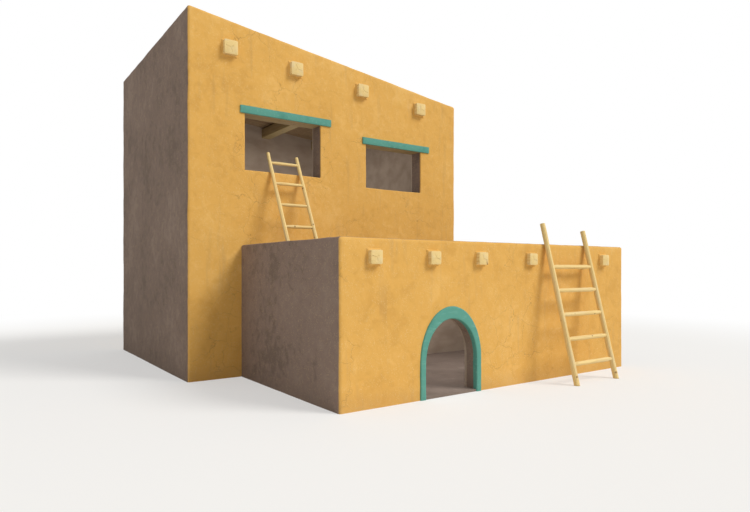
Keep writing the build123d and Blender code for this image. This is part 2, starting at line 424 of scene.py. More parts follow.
        tone = weighed(tree, (clouds, 1 - self.daub_share), (daubs, self.daub_share))
        wash = self.wash_thin.over(tree, linear(self.wash), tone)
        wash = self.wash_thick.over(tree, wash, tone)
        mud = self.mud_thin.over(tree, linear(self.mud), tone)
        mud = self.mud_thick.over(tree, mud, tone)
        streaks = where_all(tree, (rain, *self.rain_streaks), most=self.rain_wear)
        kept = put(tree, "Math", {0: 1.0, 1: streaks}, operation="SUBTRACT")
        washed = self.washed(tree, spot, axes.outputs[Y])
        worn = put(tree, "Math", {0: washed, 1: kept}, operation="MULTIPLY")
        # Fronts take the wash; sides and reveals take the darker mud, which is partly painted shade
        colour = put(tree, "Mix", {SHARE: worn, UNDER: mud, OVER: wash}, data_type="RGBA")

        straw = self.flecks(tree, spot)
        limits = {"Value": worn, "To Min": self.straw_bare, "To Max": self.straw_washed}
        showing = put(tree, "MapRange", limits, interpolation_type="SMOOTHSTEP")
        cracks = self.hairlines(tree, spot)
        low_down = where_all(tree, (axes.outputs[Z], *self.splash_heights), most=self.splash_share)
        marks = (
            (straw, showing, self.straw),
            (cracks, self.crack_share, self.crack),
            (low_down, daubs, self.mud_thin.colour),
        )
        for pattern, strength, code in marks:
            share = put(tree, "Math", {0: pattern, 1: strength}, operation="MULTIPLY")
            colour = put(tree, "Mix", {SHARE: share, UNDER: colour, OVER: linear(code)}, data_type="RGBA")
        raised = ((daubs, self.daub_relief), (grit, self.grit_relief), (straw, self.straw_relief))
        return colour, weighed(tree, *raised, (cracks, self.crack_relief))


@dataclass(frozen=True, kw_only=True)
class RoomWash(Finish):
    """Smoothed mud with a thin pale slip, brushed in broad strokes: the inside of the rooms.

    It takes the little light that comes in and keeps the openings a soft brown and not black.
    """

    name: str = "mud slip, brushed smooth"
    roughness: float = 0.9
    relief: float = 0.003
    slip: str = "#BCAA98"
    bare: Coat = Coat("#A99684", hidden=0.3, full=0.75)
    stroke_turn: Point = (0.0, 0.5, 0.4)
    stroke_stretch: Point = (0.6, 1.0, 1.2)

    def surface(self, tree: Tree, spot: Feed) -> tuple[Feed, Feed]:
        """Work out the slip at a point.

        Args:
            tree: The material's tree.
            spot: The point on the house.

        Returns:
            The colour and the relief.
        """
        sweep = {"Vector": spot, "Rotation": self.stroke_turn, "Scale": self.stroke_stretch}
        along = put(tree, "Mapping", sweep)
        strokes = put(tree, "TexNoise", {"Vector": along, "Scale": per_metre(420), "Detail": 5.0})
        return self.bare.over(tree, linear(self.slip), strokes), strokes


@dataclass(frozen=True, kw_only=True)
class MilkPaint(Finish):
    """Chalky turquoise milk paint on mud or wood, thin in places and rubbed off at the arrises.

    It gives the eye a soft matte band of one colour that is still brushed by hand.
    """

    roughness: float = 0.82
    relief: float = 0.003
    paint: str = "#5A998A"
    deep: Coat = Coat("#4A897A", hidden=0.5, full=0.75, most=0.8)
    chalky: Coat = Coat("#74AB9C", hidden=0.52, full=0.78, most=0.6)
    beneath: Coat = Coat("#C3A06B", hidden=0.66, full=0.72, most=0.75)
    brush_stretch: Point = (0.25, 1.0, 1.0)
    chip_relief: float = -0.6

    def surface(self, tree: Tree, spot: Feed) -> tuple[Feed, Feed]:
        """Work out the brushed and chipped paint at a point.

        Args:
            tree: The material's tree.
            spot: The point on the house, or in the stick's own frame.

        Returns:
            The colour and the relief.
        """
        clouds = put(tree, "TexNoise", {"Vector": spot, "Scale": per_metre(480), "Detail": 5.0})
        drawn = put(tree, "Mapping", {"Vector": spot, "Scale": self.brush_stretch})
        strokes = put(tree, "TexNoise", {"Vector": drawn, "Scale": per_metre(60), "Detail": 3.0})
        small = {"Vector": spot, "Scale": per_metre(46), "Detail": 6.0, "Roughness": 0.7}
        chips = put(tree, "TexNoise", small)
        colour = self.deep.over(tree, linear(self.paint), clouds)
        colour = self.chalky.over(tree, colour, strokes)
        colour = self.beneath.over(tree, colour, chips)
        gone = where_all(tree, (chips, self.beneath.hidden, self.beneath.full), most=self.beneath.most)
        return colour, weighed(tree, (strokes, 1.0), (gone, self.chip_relief))


@dataclass(frozen=True, kw_only=True)
class Pine(Finish):
    """Peeled or hewn pine, sun-bleached outside, browner indoors by soot and painted shade, with rings
    and long grain.

    The pattern is one solid one, read across and along the stick, so the rings at an end run on as
    grain along its sides, and knots run out from the heart. Its rings are drawn wider than real, so
    that they show. Paint, if any, lies on what stands out of the wall's faces.
    """

    roughness: float = 0.78
    relief: float = 0.0035
    fibre: Fibre = Fibre.STICK
    sapwood: str = "#EBD08F"
    latewood: Coat = Coat("#D4AE6B", hidden=-0.4, full=1.0, most=0.55)
    weathered: Coat = Coat("#E0CC9F", hidden=0.45, full=0.75, most=0.6)
    check: Coat = Coat("#A07C4B", hidden=0.68, full=0.76, most=0.7)
    knot: Coat = Coat("#8A6239", hidden=0.12, full=0.07, most=0.8)
    patch_stretch: Point = (1.0, 0.14, 1.0)
    fibre_stretch: Point = (1.0, 0.03, 1.0)
    ring_mm: float = 26.0
    ring_sway: Point = (0.09, 0.0, 0.09)
    ring_relief: float = -0.3
    knot_reach: float = 0.12
    paint: MilkPaint | None = None
    # Indoor colour of the wood, and its share: part soot stain, part painted shade inside the walls and
    # rooms
    smoke_and_shade: str = "#5F4B3C"
    smoked_and_shaded: float = 0.0
    front: float = 0.0
    back: float = 0.0
    wall_edge: float = 0.012

    def spot(self, tree: Tree) -> Feed:
        """Read the point for the patterns: in the stick's own frame, or on the house.

        Args:
            tree: The material's tree.

        Returns:
            The point.
        """
        if self.fibre is Fibre.STICK:
            return put(tree, "Attribute", attribute_name=STICK_ATTRIBUTE).outputs["Vector"]
        return super().spot(tree)

    def outdoors(self, tree: Tree) -> Feed:
        """Share of the open air at a point: all on what stands outside the wall's faces.

        Args:
            tree: The material's tree.

        Returns:
            A share from 0 indoors to 1 outdoors.
        """
        axes = put(tree, "SeparateXYZ", {0: super().spot(tree)})
        before = where_all(tree, (axes.outputs[Y], self.front + self.wall_edge, self.front))
        behind = where_all(tree, (axes.outputs[Y], self.back - self.wall_edge, self.back))
        return put(tree, "Math", {0: before, 1: behind}, operation="MAXIMUM")

    def whorls(self, tree: Tree, spot: Feed, across: Feed) -> Feed:
        """Distance from the nearest knot, which keeps its place from the heart outwards.

        Args:
            tree: The material's tree.
            spot: The point in the stick's frame.
            across: The same point without its place along the stick.

        Returns:
            The node of the distance.
        """
        round_heart = put(tree, "VectorMath", {0: across}, operation="NORMALIZE")
        up_stick = put(tree, "VectorMath", {0: spot, 1: (0.0, 1.0, 0.0)}, operation="MULTIPLY")
        out_from = {0: round_heart, 1: (self.knot_reach,) * 3, 2: up_stick}
        branch = put(tree, "VectorMath", out_from, operation="MULTIPLY_ADD")
        return put(tree, "TexVoronoi", {"Vector": branch, "Scale": per_metre(260)})

    def surface(self, tree: Tree, spot: Feed) -> tuple[Feed, Feed]:
        """Work out the wood at a point, with its smoke and its paint.

        Args:
            tree: The material's tree.
            spot: The point in the stick's frame, or on the house.

        Returns:
            The colour and the relief.
        """
        slow = put(tree, "Mapping", {"Vector": spot, "Scale": self.patch_stretch})
        wind = put(tree, "TexNoise", {"Vector": slow, "Scale": per_metre(300), "Detail": 2.0})
        sway = {0: wind.outputs["Color"], 1: self.ring_sway, 2: spot}
        moved = put(tree, "VectorMath", sway, operation="MULTIPLY_ADD")
        across = put(tree, "VectorMath", {0: moved, 1: (1.0, 0.0, 1.0)}, operation="MULTIPLY")
        radius = put(tree, "VectorMath", {0: across}, operation="LENGTH")
        turns = 2 * math.pi * per_metre(self.ring_mm)
        phase = put(tree, "Math", {0: radius, 1: turns}, operation="MULTIPLY")
        rings = put(tree, "Math", {0: phase}, operation="SINE")
        fine = put(tree, "Mapping", {"Vector": spot, "Scale": self.fibre_stretch})
        fibres = put(tree, "TexNoise", {"Vector": fine, "Scale": per_metre(9), "Detail": 3.0})
        patches = put(tree, "TexNoise", {"Vector": slow, "Scale": per_metre(160), "Detail": 4.0})

        colour = self.latewood.over(tree, linear(self.sapwood), rings)
        colour = self.weathered.over(tree, colour, patches)
        colour = self.check.over(tree, colour, fibres)
        colour = self.knot.over(tree, colour, self.whorls(tree, spot, across))
        grown = where_all(tree, (rings, self.latewood.hidden, self.latewood.full))
        height = weighed(tree, (fibres, 1.0), (grown, self.ring_relief))
        if not (self.smoked_and_shaded or self.paint):
            return colour, height

        # Inside the wall's faces the wood is darkened: part soot stain, part painted shade
        outside = self.outdoors(tree)
        indoors = put(tree, "Math", {0: 1.0, 1: outside}, operation="SUBTRACT")
        smoke_shade_share = put(tree, "Math", {0: indoors, 1: self.smoked_and_shaded}, operation="MULTIPLY")
        colour = put(tree, "Mix", {SHARE: smoke_shade_share, UNDER: colour, OVER: linear(self.smoke_and_shade)}, data_type="RGBA")
        if self.paint:
            painted, brushed = self.paint.surface(tree, spot)
            colour = put(tree, "Mix", {SHARE: outside, UNDER: colour, OVER: painted}, data_type="RGBA")
            height = weighed(tree, (height, 1.0), (brushed, outside))
        return colour, height


@dataclass(frozen=True, kw_only=True)
class PackedEarth(Finish):
    """Earth rammed and trodden flat, with gravel and damp and dusty patches: roofs and floors.

    It gives the eye a dull surface that is paler where it is dry and walked on.
    """

    name: str = "rammed earth, trodden"
    roughness: float = 0.96
    relief: float = 0.014
    earth: str = "#A98D69"
    damp: Coat = Coat("#92785A", hidden=0.52, full=0.3, most=0.85)
    dusty: Coat = Coat("#BFA57F", hidden=0.52, full=0.72, most=0.85)
    gravel: Coat = Coat("#7F6B57", hidden=0.2, full=0.14, most=0.55)
    gravel_relief: float = 0.35

    def surface(self, tree: Tree, spot: Feed) -> tuple[Feed, Feed]:
        """Work out the earth at a point.

        Args:
            tree: The material's tree.
            spot: The point on the house.

        Returns:
            The colour and the relief.
        """
        broad = {"Vector": spot, "Scale": per_metre(1300), "Detail": 6.0, "Roughness": 0.62}
        clouds = put(tree, "TexNoise", broad)
        clods = put(tree, "TexNoise", {"Vector": spot, "Scale": per_metre(120), "Detail": 4.0})
        stones = put(tree, "TexVoronoi", {"Vector": spot, "Scale": per_metre(85)})
        colour = self.damp.over(tree, linear(self.earth), clouds)
        colour = self.dusty.over(tree, colour, clouds)
        colour = self.gravel.over(tree, colour, stones)
        pebbles = where_all(tree, (stones, self.gravel.hidden, self.gravel.full))
        return colour, weighed(tree, (clods, 1.0), (pebbles, self.gravel_relief))


def put_down() -> None:
    """Leave edit mode and deselect everything, so that the next operator acts on its own piece."""
    if bpy.context.object and bpy.context.object.mode != "OBJECT":
        bpy.ops.object.mode_set(mode="OBJECT")
    bpy.ops.object.select_all(action="DESELECT")


def take_up(piece: Piece) -> None:
    """Make one piece the only selected and active one.

    Args:
        piece: The piece.
    """
    put_down()
    bpy.context.view_layer.objects.active = piece
    piece.select_set(True)


def settle(piece: Piece, name: str) -> Piece:
    """Name a piece and put its place into its mesh.

    Args:
        piece: The piece.
        name: Its name.

    Returns:
        The piece, with its own origin at the house's.
    """
    take_up(piece)
    bpy.ops.object.transform_apply(location=True, rotation=True, scale=True)
    piece.name = name
    piece.data.name = name
    return piece


def add_block(name: str, low: Point, high: Point) -> Piece:
    """Add a cube primitive that fills the space between two corners.

    Args:
        name: The piece's name.
        low: Its lowest corner.
        high: Its highest corner.

    Returns:
        The new piece.
    """
    put_down()
    centre = [(a + b) / 2 for a, b in zip(low, high)]
    bpy.ops.mesh.primitive_cube_add(size=1, location=centre, scale=[b - a for a, b in zip(low, high)])
    return settle(bpy.context.object, name)


def add_pole(name: str, radius: float, length: float, sides: int) -> Piece:
    """Add a cylinder primitive that lies along Y, centred on the origin.

    Args:
        name: The piece's name.
        radius: Its radius.
        length: Its length.
        sides: How many sides it has.

    Returns:
        The new piece.
    """
    put_down()
    bpy.ops.mesh.primitive_cylinder_add(
        vertices=sides, radius=radius, depth=length, rotation=(QUARTER_TURN, 0, 0), end_fill_type="NGON"
    )
    return settle(bpy.context.object, name)


def runs_along(edge: bmesh.types.BMEdge, axis: int) -> bool:
    """Tell whether an edge runs along an axis."""
    return abs((edge.verts[0].co - edge.verts[1].co).normalized()[axis]) > ALONG


def lies_at(part: Part, axis: int, place: float) -> bool:
    """Tell whether all points of an edge or a face lie at one place along an axis."""
    return all(abs(point.co[axis] - place) < NEAR for point in part.verts)


def pick(piece: Piece, kind: Element, wanted: Test) -> None:
    """Go into edit mode and select the points, edges or faces that pass a test.

    Args:
        piece: The piece to edit.
        kind: What is selected.
        wanted: The test, which takes one mesh element.
    """
    take_up(piece)
    bpy.ops.object.mode_set(mode="EDIT")
    bpy.ops.mesh.select_mode(type=kind.value)
    bpy.ops.mesh.select_all(action="DESELECT")
    mesh = bmesh.from_edit_mesh(piece.data)
    elements = {Element.POINT: mesh.verts, Element.EDGE: mesh.edges, Element.FACE: mesh.faces}[kind]
    for element in filter(wanted, elements):
        element.select_set(True)
    mesh.select_flush_mode()
    bmesh.update_edit_mesh(piece.data)


def bevel_where(piece: Piece, wanted: Test, width: float, segments: int) -> None:
    """Round the edges that pass a test.

    Args:
        piece: The piece.
        wanted: The test, which takes one edge.
        width: How far the round reaches from the edge.
        segments: How many faces it has.
    """
    pick(piece, Element.EDGE, wanted)
    bpy.ops.mesh.bevel(offset=width, segments=segments, affect="EDGES")
    put_down()


def resize_where(piece: Piece, kind: Element, wanted: Test, shares: Point, centre: Point) -> None:
    """Scale the points, or the faces, that pass a test.

    Args:
        piece: The piece.
        kind: What the test takes.
        wanted: The test.
        shares: The scale along each axis.
        centre: The point that stays in place.
    """
    pick(piece, kind, wanted)
    bpy.ops.transform.resize(value=shares, center_override=centre)
    put_down()


def modify(piece: Piece, kind: str, **settings: object) -> None:
    """Add a modifier and apply it.

    Args:
        piece: The piece.
        kind: The modifier's type.
        settings: Its options.
    """
    take_up(piece)
    modifier = piece.modifiers.new(kind.title(), kind)
    for option, value in settings.items():
        setattr(modifier, option, value)
    bpy.ops.object.modifier_apply(modifier=modifier.name)


def cut_away(piece: Piece, *cutters: Piece) -> None:
    """Take the cutters' shapes out of a piece and delete the cutters.

    Args:
        piece: The piece.
        cutters: The closed shapes to take out.
    """
    for cutter in cutters:
        modify(piece, "BOOLEAN", operation="DIFFERENCE", solver="EXACT", object=cutter)
        bpy.data.objects.remove(cutter)


def slice_through(piece: Piece, step: float, axes: tuple[int, ...] = (X, Y, Z)) -> None:
    """Cut a piece's faces along evenly spaced planes, so that displacement has points to move.

    Args:
        piece: The piece to slice.
        step: About how far apart the planes are.
        axes: The axes that the planes stand across.
    """
    corners = [Vector(c) for c in piece.bound_box]
    pick(piece, Element.POINT, lambda v: True)
    for axis in axes:
        low = min(c[axis] for c in corners)
        high = max(c[axis] for c in corners)
        count = max(1, round((high - low) / step))
        normal = [float(axis == i) for i in (X, Y, Z)]
        for i in range(1, count):
            place = [0.0, 0.0, 0.0]
            place[axis] = low + (high - low) * i / count
            bpy.ops.mesh.select_all(action="SELECT")
            bpy.ops.mesh.bisect(plane_co=place, plane_no=normal)
    put_down()


def cut_level(piece: Piece, level: float = 0.0) -> None:
    """Cut off what lies below a level, the ground's if none is given, and close the foot.

    Args:
        piece: The piece.
        level: Height of the cut.
    """
    pick(piece, Element.POINT, lambda v: True)
    bpy.ops.mesh.bisect(plane_co=(0, 0, level), plane_no=UP, use_fill=True, clear_inner=True)
    put_down()


@dataclass(frozen=True)
class Lumps:
    """Smooth unevenness of a surface: the size of its lumps and how far they reach, in metres.

    The middle is the level of the noise that stays in place: at 1 it only pushes inwards.
    """

    size: float
    depth: float
    middle: float = 0.5
    layers: int = 2


def roughen(piece: Piece, lumps: tuple[Lumps, ...], shift: float = 0.0) -> None:
    """Push a piece's surface in and out by smooth noises.

    Args:
        piece: The piece, with points close enough together for the noises.
        lumps: The noises, one after the other.
        shift: How far they are moved, so that pieces differ.
    """
    holder = bpy.data.objects.new(piece.name + "_shift", None)
    bpy.context.scene.collection.objects.link(holder)
    holder.location = (shift, 0.7 * shift, 0.3 * shift)
    bpy.context.view_layer.update()
    for lump in lumps:
        texture = bpy.data.textures.new(piece.name + "_lumps", "CLOUDS")
        texture.noise_scale = lump.size
        texture.noise_depth = lump.layers
        modify(
            piece, "DISPLACE", texture=texture, strength=lump.depth, mid_level=lump.middle,
            texture_coords="OBJECT", texture_coords_object=holder,
        )
    bpy.data.objects.remove(holder)


def round_arrises(piece: Piece, width: float, degrees: float = 50.0, segments: int = 3) -> None:
    """Round the arrises that turn by more than an angle, and leave the edges that are round already.

    Args:
        piece: The piece.
        width: How far the round reaches from the arris.
        degrees: The angle.
        segments: How many faces the round has.
    """
    limit = math.radians(degrees)
    modify(piece, "BEVEL", width=width, segments=segments, limit_method="ANGLE", angle_limit=limit)


def smooth(piece: Piece, degrees: float) -> None:
    """Shade a piece smooth, with its arrises that turn by more than an angle kept sharp."""
    take_up(piece)
    bpy.ops.object.shade_smooth_by_angle(angle=math.radians(degrees))


def remember_stick(piece: Piece, shift: Point = (0.0, 0.0, 0.0)) -> None:
    """Keep each point's place in the stick's own frame, for the grain to follow.

    Args:
        piece: A stick that lies along Y about the origin.
        shift: How far the pattern is moved, so that sticks differ.
    """
    record = piece.data.attributes.new(STICK_ATTRIBUTE, "FLOAT_VECTOR", "POINT")
    for entry, vertex in zip(record.data, piece.data.vertices):
        entry.vector = vertex.co + Vector(shift)


def copy_of(piece: Piece, name: str, place: Point, turn: Point = (0.0, 0.0, 0.0)) -> Piece:
    """Copy a piece with a mesh of its own, turned about the origin and then moved.

    Args:
        piece: The piece to copy.
        name: The copy's name.
        place: Where the copy's own origin goes.
        turn: Its turn about X, Y and Z.

    Returns:
        The copy.
    """
    twin = piece.copy()
    twin.data = piece.data.copy()
    bpy.context.scene.collection.objects.link(twin)
    twin.rotation_euler = Euler(turn)
    twin.location = place
    bpy.context.view_layer.update()
    return settle(twin, name)


def another_stick(
    model: Piece, name: str, place: Point, turn: Point, draw: random.Random, spread: float
) -> Piece:
    """Copy a stick and move its grain, so that no two look alike.

    Args:
        model: The stick to copy.
        name: The copy's name.
        place: Where its middle goes.
        turn: Its turn about X, Y and Z.
        draw: The source of the differences.
        spread: How far the heart may lie from the stick's axis.

    Returns:
        The copy.
    """
    twin = copy_of(model, name, place, turn)
    run = (draw.uniform(-spread, spread), draw.uniform(0, GRAIN_RUN), draw.uniform(-spread, spread))
    shift = Vector(run)
    for entry in twin.data.attributes[STICK_ATTRIBUTE].data:
        entry.vector = Vector(entry.vector) + shift
    return twin


def joined(pieces: list[Piece], name: str) -> Piece:
    """Join pieces into one mesh.

    Args:
        pieces: The pieces.
        name: The name of what they become.

    Returns:
        The joined piece.
    """
    put_down()
    for piece in pieces:
        piece.select_set(True)
    bpy.context.view_layer.objects.active = pieces[0]
    bpy.ops.object.join()
    return settle(pieces[0], name)


def dress(piece: Piece, *finishes: Finish) -> None:
    """Give a piece its finishes, the first one on every face.

    Args:
        piece: The piece.
        finishes: Its finishes.
    """
    piece.data.materials.clear()
    for finish in finishes:
        piece.data.materials.append(finish.material())


def hand_over(piece: Piece, slot: Slot, *nodes: str) -> None:
    """Let a finished piece ride on the house, in place of CAD nodes, and report it.

    Args:
        piece: The finished piece.
        slot: The record's material slot for its finish; not used.
        nodes: The CAD nodes that it stands for.
    """
    put_down()
    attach(piece, "root")
    if nodes:
        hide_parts(*nodes)
    faces = len(piece.data.polygons)
    LOG.info("%s: %d faces, stands for %s", piece.name, faces, ", ".join(nodes) or "itself")


def within(point: Vector, low: Vector, high: Vector, near: float = 0.04) -> bool:
    """Tell whether a point lies in a room's plan or on its walls."""
    return all(low[i] - near < point[i] < high[i] + near for i in (X, Y))


@dataclass(frozen=True)
class Opening:
    """A clear opening through a wall, or the space of a room."""

    low: Vector
    high: Vector

    @classmethod
    def named(cls, record: dict, name: str, margin: float = 0.002) -> "Opening":
        """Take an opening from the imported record, which states it a little smaller than it is.

        Args:
            record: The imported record.
            name: The opening's name there.
            margin: How much smaller it is on each side.

        Returns:
            The opening.
        """
        found = next(o for o in record["physics"]["openings"] if o["name"] == name)
        low, high = (Vector(corner) for corner in found["box_m"])
        spare = Vector((margin,) * 3)
        return cls(low - spare, high + spare)


def outer_faces(block: str) -> dict[str, float]:
    """Where a block's outer front and back faces are along Y, by its packed walls."""
    front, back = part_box(f"{block}_front_wall")[0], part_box(f"{block}_back_wall")[1]
    return {"front": front.y, "back": back.y}


@dataclass
class WallMass:
    """One mass of mud-brick walls round a room, plastered over its corners, arrises and parapet."""

    corner: float = 0.064
    crest: float = 0.058
    crest_inside: float = 0.055
    crest_depth: float = 0.1
    round_faces: int = 4
    round_faces_inside: int = 3
    arris: float = 0.026
    buried: float = 0.1
    step: float = 0.11
    spare: float = 0.016
    lumps: tuple[Lumps, ...] = (Lumps(0.85, 0.022), Lumps(0.24, 0.009))
    sharpest: float = 50.0

    def rounded_block(self, name: str, low: Point, high: Point, fall: float = 0.0) -> Piece:
        """Model a block with a level or falling top and hand-rounded corners.

        Its ends and top have some room to spare inside the CAD, for the unevenness to stand out into.

        Args:
            name: The piece's name.
            low: Its lowest corner.
            high: Its highest corner.
            fall: How much lower its top is at the right end.

        Returns:
            The block, with its foot below the ground.
        """
        left, right, top = low[X] + self.spare, high[X] - self.spare, high[Z] - self.spare
        piece = add_block(name, (left, low[Y], -self.buried), (right, high[Y], top))
        pick(piece, Element.POINT, lambda v: v.co.z > top - NEAR and v.co.x > right - NEAR)
        bpy.ops.transform.translate(value=(0, 0, -fall))
        bevel_where(piece, lambda e: runs_along(e, Z), self.corner, self.round_faces)
        lowest = top - fall - NEAR
        bevel_where(piece, lambda e: all(v.co.z > lowest for v in e.verts), self.crest, self.round_faces)
        return piece

    def soften_inner_crest(self, piece: Piece, low: Point, high: Point, lowest: float) -> None:
        """Round the parapet's inner edge, once the room is cut out.

        Args:
            piece: The walls.
            low: The room's lowest corner.
            high: Its highest corner.
            lowest: The lowest height of the parapet's top.
        """
        sides = [(axis, corner[axis]) for axis in (X, Y) for corner in (low, high)]

        def on_rim(edge: bmesh.types.BMEdge) -> bool:
            """Tell whether an edge runs round the room at the parapet's top.

            Args:
                edge: An edge of the walls.

            Returns:
                Whether it lies on a side of the room, near the top, and isn't upright.
            """
            on_side = any(lies_at(edge, axis, place) for axis, place in sides)
            high_up = all(v.co.z > lowest - self.crest_depth for v in edge.verts)
            return on_side and high_up and not runs_along(edge, Z)

        bevel_where(piece, on_rim, self.crest_inside, self.round_faces_inside)

    def plaster_over(self, piece: Piece) -> None:
        """Round the arrises of the openings, and make the faces as uneven as hand-floated mud.

        Args:
            piece: The walls, with their openings cut.
        """
        round_arrises(piece, self.arris)
        slice_through(piece, self.step)
        roughen(piece, self.lumps)
        cut_level(piece)
        smooth(piece, self.sharpest)


@dataclass
class TallBlock(WallMass):
    """The tall block's walls: one plastered mass with two windows through the front and the back."""

    length: float = 9.1
    height: float = 9.5
    fall: float = 1.13
    roof_fall: float = 0.85
    wall: float = 0.5
    head_hidden: float = 0.03
    clear: float = 0.3

    def roof_slope(self) -> float:
        """Fall of the roof over each metre to the right."""
        return self.roof_fall / self.length

    def corners(self) -> tuple[Vector, Vector]:
        """Find the outer corners of the block from its packed walls.

        Returns:
            The lowest and the highest corner.
        """
        low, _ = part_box("tall_front_wall")
        _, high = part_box("tall_back_wall")
        return low, Vector((high.x, high.y, self.height))

    def room(self) -> tuple[Vector, Vector]:
        """Find the inner corners of the block, open above and below.

        Returns:
            The lowest and the highest corner.
        """
        low, high = self.corners()
        inset = Vector((self.wall, self.wall, -self.clear))
        return low + inset, high - inset

    def build(self, windows: list[Opening], plaster: MudPlaster, inside: RoomWash) -> None:
        """Model and dress the walls.

        Args:
            windows: The openings at the back, which the front ones repeat.
            plaster: Finish of the outer faces.
            inside: Finish of the rooms.
        """
        low, high = self.corners()
        room_low, room_high = self.room()
        piece = self.rounded_block("tall_block_walls", low, high, self.fall)
        cut_away(piece, add_block("room", room_low, room_high))
        self.soften_inner_crest(piece, room_low, room_high, self.height - self.fall)
        for window in windows:
            sill = (window.low.x, low.y - PAST, window.low.z)
            head = (window.high.x, high.y + PAST, window.high.z + self.head_hidden)
            cut_away(piece, add_block("window", sill, head))
        self.plaster_over(piece)
        dress(piece, plaster, inside)
        self.part_inside(piece, room_low, room_high)
        walls = [f"tall_{side}_wall" for side in ("front", "back", "left", "right")]
        hand_over(piece, Slot.WASH, *walls)

    def part_inside(self, piece: Piece, room_low: Vector, room_high: Vector) -> None:
        """Give the rooms' faces their own finish, below the roof and behind the low room.

        Args:
            piece: The walls.
            room_low: The tall room's lowest corner.
            room_high: Its highest corner.
        """
        roof_low, roof_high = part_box("tall_roof_earth")
        low_room_low, low_room_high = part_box("low_roof_poles")
        for face in piece.data.polygons:
            x, y, z = face.center
            ceiling = roof_high.z - self.roof_slope() * (x - roof_low.x)
            in_tall = within(face.center, room_low, room_high) and z < ceiling
            behind_low = y < room_low.y and low_room_low.x < x < low_room_high.x and z < low_room_high.z
            face.material_index = int(in_tall or behind_low)


@dataclass
class LowBlock(WallMass):
    """The low block's walls: a front with the arched doorway, two sides and a short back."""

    height: float = 3.5
    wall: float = 0.4
    lap: float = 0.03
    lumps: tuple[Lumps, ...] = (Lumps(0.85, 0.02), Lumps(0.24, 0.009))

    def build(self, doorway: "Doorway", plaster: MudPlaster, inside: RoomWash) -> None:
        """Model and dress the walls.

        Args:
            doorway: The arch to cut through the front.
            plaster: Finish of the outer faces.
            inside: Finish of the room.
        """
        low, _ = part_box("low_front_wall")
        _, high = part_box("low_back_wall")
        tall_low, tall_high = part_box("tall_front_wall")
        piece = self.rounded_block("low_block_walls", low, Vector((high.x, high.y, self.height)))
        room_low = low + Vector((self.wall, self.wall, -2 * self.buried))
        room_high = Vector((high.x - self.wall, tall_low.y, self.height + 2 * PAST))
        cut_away(piece, add_block("room", room_low, room_high))
        self.soften_inner_crest(piece, room_low, room_high, self.height)
        behind = Vector((low.x - 2 * PAST, tall_low.y + self.lap, room_low.z))
        beyond = Vector((tall_high.x - self.lap, high.y + 2 * PAST, room_high.z))
        cut_away(piece, add_block("tall_block", behind, beyond))
        front, back = low.y - PAST, room_low.y + PAST
        cut_away(piece, doorway.arch("doorway_hole", doorway.clearing, front, back, 2 * self.buried))
        self.plaster_over(piece)
        dress(piece, plaster, inside)
        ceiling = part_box("low_roof_poles")[1].z
        for face in piece.data.polygons:
            face.material_index = int(within(face.center, room_low, room_high) and face.center.z < ceiling)
        walls = [f"low_{side}_wall" for side in ("front", "left", "right", "back")]
        hand_over(piece, Slot.WASH, *walls)


@dataclass
class Doorway:
    """The arched doorway and the painted band round it, thin at the jambs and thick at the crown."""

    spring: float = 0.8
    side: float = 0.16
    crown: float = 0.285
    clearing: float = 0.022
    sides: int = 64
    edge: float = 0.028
    step: float = 0.05
    buried: float = 0.06
    lumps: tuple[Lumps, ...] = (Lumps(0.4, 0.014), Lumps(0.15, 0.006))
    sharpest: float = 50.0

    def opening(self) -> tuple[float, float, float]:
        """Centre, half width and crown height of the clear doorway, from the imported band."""
        low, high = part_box("door_surround")
        return (low.x + high.x) / 2, (high.x - low.x) / 2 - self.side, high.z - self.crown

    def arch(
        self, name: str, wider: float, front: float, back: float, below: float, higher: float | None = None
    ) -> Piece:
        """Model the space under an arch: a cylinder primitive, cut at the spring and drawn down.

        Args:
            name: The piece's name.
            wider: How much wider than the doorway it is on each side.
            front: Where it starts along Y.
            back: Where it ends along Y.
            below: How far it reaches below the ground.
            higher: How much higher than the doorway it is, if not as much as it is wider.

        Returns:
            The arched block.
        """
        centre, half, crown = self.opening()
        rise = crown - self.spring + (wider if higher is None else higher)
        put_down()
        bpy.ops.mesh.primitive_cylinder_add(
            vertices=self.sides, radius=1, depth=1, rotation=(QUARTER_TURN, 0, 0),
            location=(centre, (front + back) / 2, self.spring), scale=(half + wider, rise, back - front),
        )
        piece = settle(bpy.context.object, name)
        cut_level(piece, self.spring)
        pick(piece, Element.FACE, lambda f: f.normal.z < -FACING)
        bpy.ops.mesh.extrude_region_move(TRANSFORM_OT_translate={"value": (0, 0, -self.spring - below)})
        bpy.ops.mesh.select_all(action="SELECT")
        bpy.ops.mesh.normals_make_consistent(inside=False)
        put_down()
        return piece

    def build(self, paint: MilkPaint) -> None:
        """Model and dress the band.

        Args:
            paint: Finish of the band.
        """
        low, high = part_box("door_surround")
        piece = self.arch("doorway_band", self.side, low.y, high.y, self.buried, self.crown)
        cut_away(piece, self.arch("clear", 0.0, low.y - PAST, high.y + PAST, 2 * self.buried))
        round_arrises(piece, self.edge)
        slice_through(piece, self.step)
        roughen(piece, self.lumps)
        cut_level(piece)
        smooth(piece, self.sharpest)
        dress(piece, paint)
        hand_over(piece, Slot.PAINT, "door_surround")


